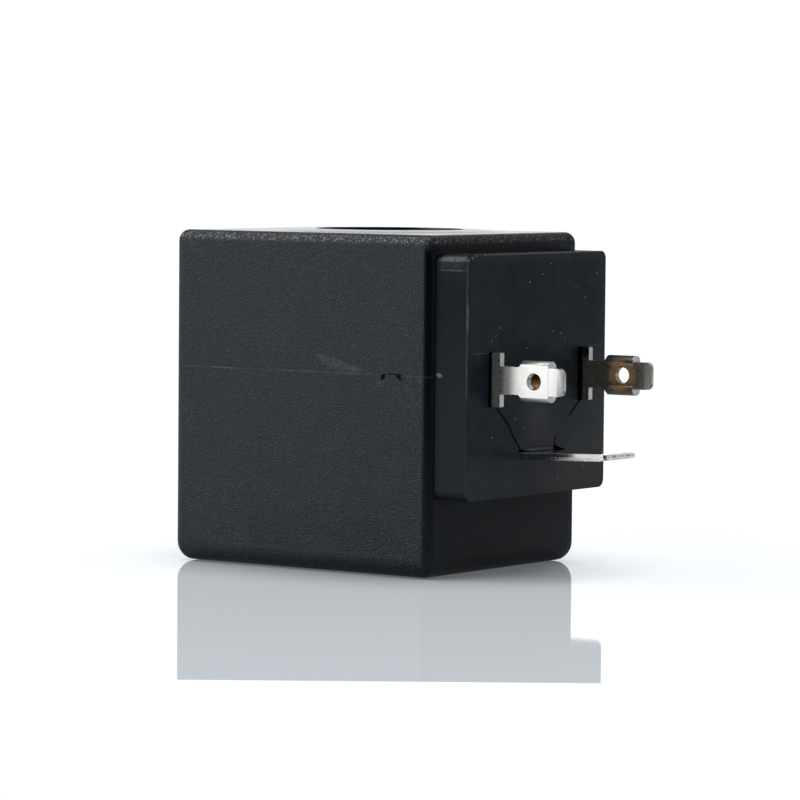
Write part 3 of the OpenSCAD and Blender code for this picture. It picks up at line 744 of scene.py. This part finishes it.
def makeCarrier():
    c, face, z, half = carrier, pad["face"], contacts["z"], contacts["sheet"] / 2
    x, back, front = contacts["carrierX"], contacts["carrierX"] - c["over"], pad["face"] + c["over"]
    tools = []
    for y in (-contacts["y"], contacts["y"]):
        for start, room in ((back, contacts["room"]), (face - c["mouth"], c["mouthRoom"])):
            tools.append(makeBox((start, y - half - room, z - c["slotHalf"]),
                                 (front, y + half + room, z + c["slotHalf"])))
    for start, (low, high) in ((back, c["earthSlot"]), (face - c["earthMouthDeep"], c["earthMouth"])):
        tools.append(makeBox((start, *low), (front, *high)))
    tools += [rampTool(), makeRod((back, 0, z), (face - insert["collar"], 0, z), insert["r"]),
              makeRod((x, 0, z), (front, 0, z), insert["collarR"])]
    piece = makeObject(carrierBlank(), "carrier")
    combine(piece, tools + faceBars(seams["lines"], seams["size"]) + earthPits())
    finishPiece(piece, "terminalCarrier", "terminal_carrier", finishes["satin"], 20)


makeCarrier()


# upright contacts: one sheet with shoulders, its wings folded back on themselves

upright = {
    "length": 9.5, "half": 1.55, "shoulder": 3.0, "shoulderEnd": 1.25, "shoulderR": 0.1, "innerR": 0.16,
    "tail": 8.06, "tailHalf": 0.8, "root": 3.2, "tipR": 0.75, "tipTaper": 0.8, "tipThin": 0.35, "wingStart": 3.6,
    "wingEnd": 7.6, "wingEdge": 1.15, "wingHalf": 2.26, "wingRadii": (0.12, 0.05, 0, 0), "foldR": 0.8,
    "foldFrom": 1.75, "foldSteps": 9, "slit": 0.04, "skin": 0.02, "sunk": 0.005, "slant": 0.9, "slantFrom": 1.47,
    "slantRise": 0.4, "soft": 0.05, "wingSharpest": 1.0,
    "eye": ((0, -1.3), (1.4, -1.3), (0.9, -0.34), (0.9, 0.35), (0.95, 0.42), (0, 0.42)), "eyeSteps": 48}


def contactStrip():
    u, sheet = upright, contacts["sheet"]
    side = [(-u["tail"], u["tailHalf"]), (-u["root"], u["tailHalf"]), (-u["root"], u["shoulder"]),
            (u["shoulderEnd"], u["shoulder"]), (u["shoulderEnd"], u["half"]), (u["length"], u["half"])]
    radii = [0, 0, 0, u["shoulderR"], u["innerR"], u["tipR"]]
    bm = drawOutline([(x, -z) for x, z in side] + [(x, z) for x, z in reversed(side)], radii + radii[::-1], 6)
    extrudeUp(bm, sheet)
    place(bm, toSide)
    shift(bm, (0, -sheet / 2, 0))
    start = u["length"] - u["tipTaper"]
    cutAcross(bm, (start, 0, 0), (1, 0, 0))
    for vert in bm.verts:  # thinned end
        vert.co.y *= 1 - u["tipThin"] * max(0, vert.co.x - start) / u["tipTaper"]
    return bm


def foldedWings():
    # section of the sheet with both edges turned over, drawn out along the contact
    u, half = upright, contacts["sheet"] / 2
    out, turn, rise = half + contacts["sheet"], u["wingHalf"] - u["foldR"], u["wingHalf"] - u["foldFrom"]
    quarter = [math.pi / 2 * i / u["foldSteps"] for i in range(u["foldSteps"] + 1)]
    upper = [(-half - u["skin"], u["slantFrom"])]
    upper += [(half - (half * 2 + u["skin"]) * math.cos(a), u["foldFrom"] + rise * math.sin(a)) for a in quarter]
    upper += [(half + u["foldR"] * math.sin(a), turn + u["foldR"] * math.cos(a)) for a in quarter[1:]]
    radii = [0] * len(upper) + list(u["wingRadii"])
    slit = half + u["slit"]
    upper += [(out, u["wingEdge"]), (slit, u["wingEdge"]), (slit, turn), (half - u["sunk"], turn)]
    bm = drawOutline(upper + [(y, -z) for y, z in reversed(upper)], radii + radii[::-1], 4)
    extrudeUp(bm, u["wingEnd"] - u["wingStart"])
    place(bm, Matrix.Translation((u["wingStart"], 0, 0)) @ toPad)
    for vert in bm.verts:  # slanted cut where the wings begin
        if vert.co.x < u["wingStart"] + 0.01:
            vert.co.x += u["slant"] * min(max(0, abs(vert.co.z) - u["slantFrom"]), u["slantRise"])
    return bm


def makeUpright(name, nodeName, side):
    contact = makeObject(contactStrip(), name)
    softenEdges(contact, upright["soft"])
    wings = makeObject(foldedWings(), "wings")
    softenEdges(wings, upright["soft"], upright["wingSharpest"],
                lambda e: abs(e.verts[0].co.x - e.verts[1].co.x) < 0.5)  # only round the wings' ends
    combine(contact, [takeMesh(wings)], "UNION")
    eye = latheProfile(upright["eye"], upright["eyeSteps"])
    combine(contact, [place(eye, Matrix.Translation((contacts["holeX"], 0, 0)) @ toSide)])
    contact.data.transform(Matrix.Translation((pad["face"], side * contacts["y"], contacts["z"]))
                           @ Matrix.Diagonal((1, -side, 1, 1)))
    if side > 0:
        contact.data.flip_normals()
    finishPiece(contact, name, nodeName, finishes["tin"], 30)


makeUpright("lineTab", "line_terminal", -1)
makeUpright("neutralTab", "neutral_terminal", 1)


# earth contact with its strap down to the magnetic frame

earth = {
    "z": 13.3, "half": 3.15, "length": 11.1, "cornerR": 0.35, "tilt": 1.9, "tipDrop": 0.18, "soft": 0.06,
    "strapHalf": 2.5, "strapX": 13.3, "strapThin": 0.02, "strapOver": 0.4, "bendSteps": 8, "low": 1.8}


def makeStrap():
    sheet, half = contacts["sheet"], earth["strapHalf"]
    turnX, turnZ = earth["strapX"] + 2 * sheet, earth["z"] - 1.5 * sheet - earth["strapThin"] / 2
    bm = bmesh.new()
    foot = bm.edges.new([bm.verts.new((earth["strapX"], y, earth["low"])) for y in (-half, half)])
    rise = bmesh.ops.extrude_edge_only(bm, edges=[foot])["geom"]
    bmesh.ops.translate(bm, verts=onlyVerts(rise), vec=(0, 0, turnZ - earth["low"]))
    top = onlyEdges(rise)
    bent = bmesh.ops.spin(bm, geom=top + [v for e in top for v in e.verts], cent=(turnX, 0, turnZ), axis=(0, 1, 0),
                          angle=math.pi / 2, steps=earth["bendSteps"])["geom_last"]
    out = bmesh.ops.extrude_edge_only(bm, edges=onlyEdges(bent))["geom"]
    bmesh.ops.translate(bm, verts=onlyVerts(out), vec=(contacts["carrierX"] + earth["strapOver"] - turnX, 0, 0))
    bmesh.ops.remove_doubles(bm, verts=bm.verts, dist=1e-4)
    bmesh.ops.recalc_face_normals(bm, faces=bm.faces)
    if min(bm.faces, key=lambda f: f.calc_center_median().z).normal.x > 0:
        bmesh.ops.reverse_faces(bm, faces=bm.faces)
    bmesh.ops.solidify(bm, geom=bm.faces[:], thickness=sheet - earth["strapThin"])
    return bm


def makeEarth():
    sheet, half, length, taper = contacts["sheet"], earth["half"], earth["length"], upright["tipTaper"]
    back, start = contacts["carrierX"] - pad["face"], earth["length"] - upright["tipTaper"]
    bm = drawOutline([(back, -half), (length, -half), (length, half), (back, half)],
                     [0, earth["cornerR"], earth["cornerR"], 0], 6)
    extrudeUp(bm, sheet)
    shift(bm, (0, 0, -sheet / 2))
    for cut in (0, start):
        cutAcross(bm, (cut, 0, 0), (1, 0, 0))
    for vert in bm.verts:
        if vert.co.x > start + 1e-4:  # thinned end
            reach = (vert.co.x - start) / taper
            vert.co.z *= 1 - upright["tipThin"] * reach
            if vert.co.z > 0:  # worn far corner
                vert.co.z -= earth["tipDrop"] * reach * max(0, vert.co.y) / half
        if vert.co.x > 1e-4:  # bent slightly upwards outside the pad
            vert.co.z += vert.co.x * math.tan(math.radians(earth["tilt"]))
    tab = makeObject(bm, "earthTab")
    tab.data.transform(Matrix.Translation((pad["face"], 0, earth["z"])))
    combine(tab, [makeStrap()], "UNION")
    softenEdges(tab, earth["soft"])
    finishPiece(tab, "earthTab", "earth_terminal", finishes["tin"], 30)


makeEarth()


# brass insert for the plug's screw

def makeInsert():
    i = insert
    outside = [(0, -i["length"]), (i["r"] - i["chamfer"], -i["length"]), (i["r"], -i["length"] + i["chamfer"]),
               (i["r"], -i["grooveHigh"]), (i["grooveR"], -i["grooveHigh"]), (i["grooveR"], -i["grooveLow"]),
               (i["r"], -i["grooveLow"]), (i["r"], -i["collar"]), (i["collarR"], -i["collar"]),
               (i["collarR"], -i["edge"]), (i["collarR"] - i["edge"], 0)]
    inside = [(i["threadR"] + i["mouth"], 0)]
    depth = i["threadFrom"]
    while depth < i["depth"] - i["pitch"]:
        inside += [(i["coreR"] + i["crest"], -depth), (i["threadR"], -depth - i["pitch"] / 2)]
        depth += i["pitch"]
    inside += [(i["coreR"], -depth), (i["coreR"], -i["depth"]), (0, -i["depth"])]
    bm = place(latheProfile(outside + inside, 64), Matrix.Translation((pad["face"], 0, contacts["z"])) @ toPad)
    finishPiece(makeObject(bm, "insert"), "screwInsert", "threaded_insert", finishes["brass"], 30)


makeInsert()


# hidden and bore pieces keep their solids and get finishes of their own
# each finish: who wears it, two colours, metallic, roughness, scale of the clouds in 1/mm, bump

solids = {
    "zincSteel": (("yoke_frame",), (0.50, 0.51, 0.53), (0.36, 0.37, 0.39), 1, (0.28, 0.45), 1.5, 0.15),
    "bobbinNylon": (("bobbin",), (0.045, 0.042, 0.038), (0.07, 0.066, 0.06), 0, (0.3, 0.45), 1.2, 0.1),
    "rivetSteel": (("earth_rivet",), (0.62, 0.63, 0.64), (0.5, 0.5, 0.51), 1, (0.25, 0.4), 2.0, 0.1),
    "enamelledCopper": (
        ("winding", "start_lead", "finish_lead"), (0.55, 0.22, 0.08), (0.38, 0.13, 0.05), 1, (0.2, 0.35), 3.0, 0.2),
    "amberTape": (("cover_tape",), (0.62, 0.40, 0.10), (0.5, 0.31, 0.07), 0, (0.2, 0.32), 0.8, 0.1),
    "wovenSleeve": (
        ("start_sleeve", "finish_sleeve"), (0.78, 0.75, 0.66), (0.66, 0.63, 0.54), 0, (0.6, 0.8), 4.0, 0.3),
    "softSolder": (
        ("start_solder", "finish_solder"), (0.66, 0.67, 0.68), (0.52, 0.53, 0.54), 1, (0.25, 0.4), 2.0, 0.1),
}


def plainFinish(name, first, second, metallic, rough, scale, bump):
    mat, shader, vector = newMaterial(name)
    cloud = addNoise(vector, scale, 4, 0.6)
    setInputs(shader, {"Base Color": addMix(cloud, first, second), "Metallic": metallic,
                       "Roughness": addRange(cloud, 0.3, 0.7, *rough)})
    addBump(shader, addNoise(vector, scale * 6, 2, 0.5), bump, 0.00005)
    return mat


for name, (wearers, *looks) in solids.items():
    finish = plainFinish(name, *looks)
    for nodeName in wearers:
        nodes[nodeName].data.materials.clear()
        nodes[nodeName].data.materials.append(finish)
print("solids finished:", sum(len(wearers) for wearers, *looks in solids.values()))


# floor, backdrop and light, in metres

studio = {
    "floorSize": 1.6, "floorDrop": 0.00001, "floorTone": (1.0, 1.065, 1.125), "floorDiffuse": (0.82, 0.84, 0.86),
    "floorReach": (0.107, 0.24, 0.3), "fade": 0.08, "floorShade": 0.3, "shadeReach": (0.04, 0.11), "mirror": 0.46,
    "mirrorRough": 0.04, "mirrorIor": 1.5, "mirrorFresnel": (0.3, 0.48), "mirrorReach": (0.14, 0.24),
    "contactReach": 0.016, "contactShade": (0.35, 0.95, 0.25, 1), "glossMiddle": (-0.02, 0.06, 0.55, 0.12),
    "glossLeft": (-0.03, -0.24, 0, 0.97), "glossRight": (0.1, 0.19, 0, 0.85), "back": (0.578, -0.813, 0.062),
    "right": (0.815, 0.579, 0.0), "left": (-0.72, -0.93, 0.012, 1.49), "dim": (0.5, 0.8, 0.012, 0.3),
    "rear": (-0.9, -0.965, 0.012, 1.42), "skyHeight": (0.3, 0.6), "skyAcross": (0, 0.45, 0.14, 0.6),
    "tint": (0.99, 1.0, 1.01)}
softboxes = {
    "topBox": ((-0.41, -0.14, 0.57), (0, 0, 0.02), (0.5, 0.5), 3.2),
    "leftBox": ((-0.45, -0.6, 0.25), (0, 0, 0.02), (0.5, 0.4), 0.8)}


def paleFloor():
    # its shine ends in front of the object where the photograph's reflection ends
    s, fade, (front, side, rear) = studio, studio["fade"], studio["floorReach"]
    mat = bpy.data.materials.new("paleFloor")
    mat.use_nodes = True
    tree = mat.node_tree
    tree.nodes.clear()
    path = tree.nodes.new("ShaderNodeLightPath").outputs
    spot = tree.nodes.new("ShaderNodeTexCoord").outputs["Object"]
    ahead, across = (addDot(spot, Vector((s[k][0], s[k][1], 0)).normalized()) for k in ("back", "right"))
    aside, camera = absolute(across), path["Is Camera Ray"]
    shiny = larger(path["Is Glossy Ray"], path["Is Transmission Ray"])
    inside = smaller(addRange(aside, side - fade, side, 1, 0), addRange(ahead, -rear, fade - rear),
                     addRange(ahead, front - fade, front, 1, 0))
    apart = larger(aside, times(ahead, -1))
    shaded = smaller(inside, addRange(apart, *s["shadeReach"], 1, 0))
    share = larger(shiny, times(camera, addRange(shaded, 0, 1, 1, 1 - s["floorShade"])))
    gloss = larger(*(addRange(across, *s[k]) for k in ("glossMiddle", "glossLeft", "glossRight")))
    nearness = addNode("ShaderNodeAmbientOcclusion", {"Distance": s["contactReach"]}, "AO", tree=tree)
    strength = times(addRange(nearness, *s["contactShade"]), larger(camera, gloss))
    diffuse = addNode("ShaderNodeBsdfDiffuse", {"Color": s["floorDiffuse"]}, tree=tree)
    glow = addNode("ShaderNodeEmission", {"Strength": strength, "Color": s["floorTone"]})
    mirror = addNode("ShaderNodeBsdfGlossy", {"Roughness": s["mirrorRough"]}, tree=tree)
    fresnel = addNode("ShaderNodeFresnel", {"IOR": s["mirrorIor"]}, tree=tree)
    shine = times(addRange(fresnel, *s["mirrorFresnel"], 0, s["mirror"]), addRange(apart, *s["mirrorReach"], 1, 0),
                  times(camera, addMath("LESS_THAN", ahead, front)))
    beyond = times(minus(1, camera), addMath("LESS_THAN", inside, 0.001))
    unseen = larger(beyond, tree.nodes.new("ShaderNodeNewGeometry").outputs["Backfacing"])
    surface = addNode("ShaderNodeMixShader", {0: share, 1: diffuse, 2: glow})
    surface = addNode("ShaderNodeMixShader", {0: shine, 1: surface, 2: mirror})
    clear = addNode("ShaderNodeBsdfTransparent", {}, tree=tree)
    surface = addNode("ShaderNodeMixShader", {0: unseen, 1: surface, 2: clear})
    setInputs(tree.nodes.new("ShaderNodeOutputMaterial"), {"Surface": surface})
    return mat


def makeFloor():
    bm = bmesh.new()
    bmesh.ops.create_grid(bm, x_segments=1, y_segments=1, size=studio["floorSize"])
    shift(bm, (0, 0, -studio["floorDrop"]))
    floor = makeObject(bm, "floor")
    if floor.data.polygons[0].normal.z < 0:
        floor.data.flip_normals()
    floor.data.materials.append(paleFloor())


def makeWorld():
    # white at the left, behind and above, dark in front and at the right, all white to the camera
    s, world = studio, bpy.data.worlds.new("studio")
    scene.world = world
    world.use_nodes = True
    tree = world.node_tree
    camera = tree.nodes.new("ShaderNodeLightPath").outputs["Is Camera Ray"]
    look = tree.nodes.new("ShaderNodeTexCoord").outputs["Generated"]
    right, back = (addDot(look, s[k]) for k in ("right", "back"))
    skylight = times(addRange(splitAxes(look)["Z"], *s["skyHeight"]), addRange(right, *s["skyAcross"]))
    panels = (addRange(facing, *s[k]) for facing, k in ((right, "left"), (right, "dim"), (back, "rear")))
    setInputs(tree.nodes["Background"], {"Strength": larger(*panels, skylight, camera),
                                         "Color": addMix(camera, s["tint"], (1.0, 1.0, 1.0))})


def addSoftbox(name, spot, target, size, power):
    lamp = bpy.data.lights.new(name, "AREA")
    lamp.shape, lamp.size, lamp.size_y, lamp.energy = "RECTANGLE", size[0], size[1], power
    obj = bpy.data.objects.new(name, lamp)
    obj.location = spot
    obj.rotation_euler = (Vector(target) - Vector(spot)).to_track_quat("-Z", "Y").to_euler()
    scene.collection.objects.link(obj)


makeFloor()
makeWorld()
for name, setting in softboxes.items():
    addSoftbox(name, *setting)
print("studio ready")


# camera at the photograph's viewing angle

lens = {
    "azimuth": 35.382, "elevation": 3.568, "distance": 0.4775, "across": 0.001342, "height": 0.018572, "roll": 0.5,
    "pixels": 4154.8, "image": 800, "sensor": 36.0, "clip": 0.01}


def makeCamera():
    a, e, r = (math.radians(lens[k]) for k in ("azimuth", "elevation", "roll"))
    back = Vector((math.sin(a) * math.cos(e), -math.cos(a) * math.cos(e), math.sin(e)))
    right = Vector((math.cos(a), math.sin(a), 0))
    up = back.cross(right)
    spot = right * lens["across"] + Vector((0, 0, lens["height"])) + back * lens["distance"]
    rolledRight = right * math.cos(r) + up * math.sin(r)
    rolledUp = up * math.cos(r) - right * math.sin(r)
    data = bpy.data.cameras.new("camera")
    data.sensor_fit, data.sensor_width = "HORIZONTAL", lens["sensor"]
    data.lens = lens["sensor"] * lens["pixels"] / lens["image"]
    data.clip_start = lens["clip"]
    camera = bpy.data.objects.new("camera", data)
    camera.matrix_world = Matrix.Translation(spot) @ Matrix((rolledRight, rolledUp, back)).transposed().to_4x4()
    scene.collection.objects.link(camera)
    scene.camera = camera


makeCamera()
scene.view_settings.view_transform = "Standard"

print("scene ready")
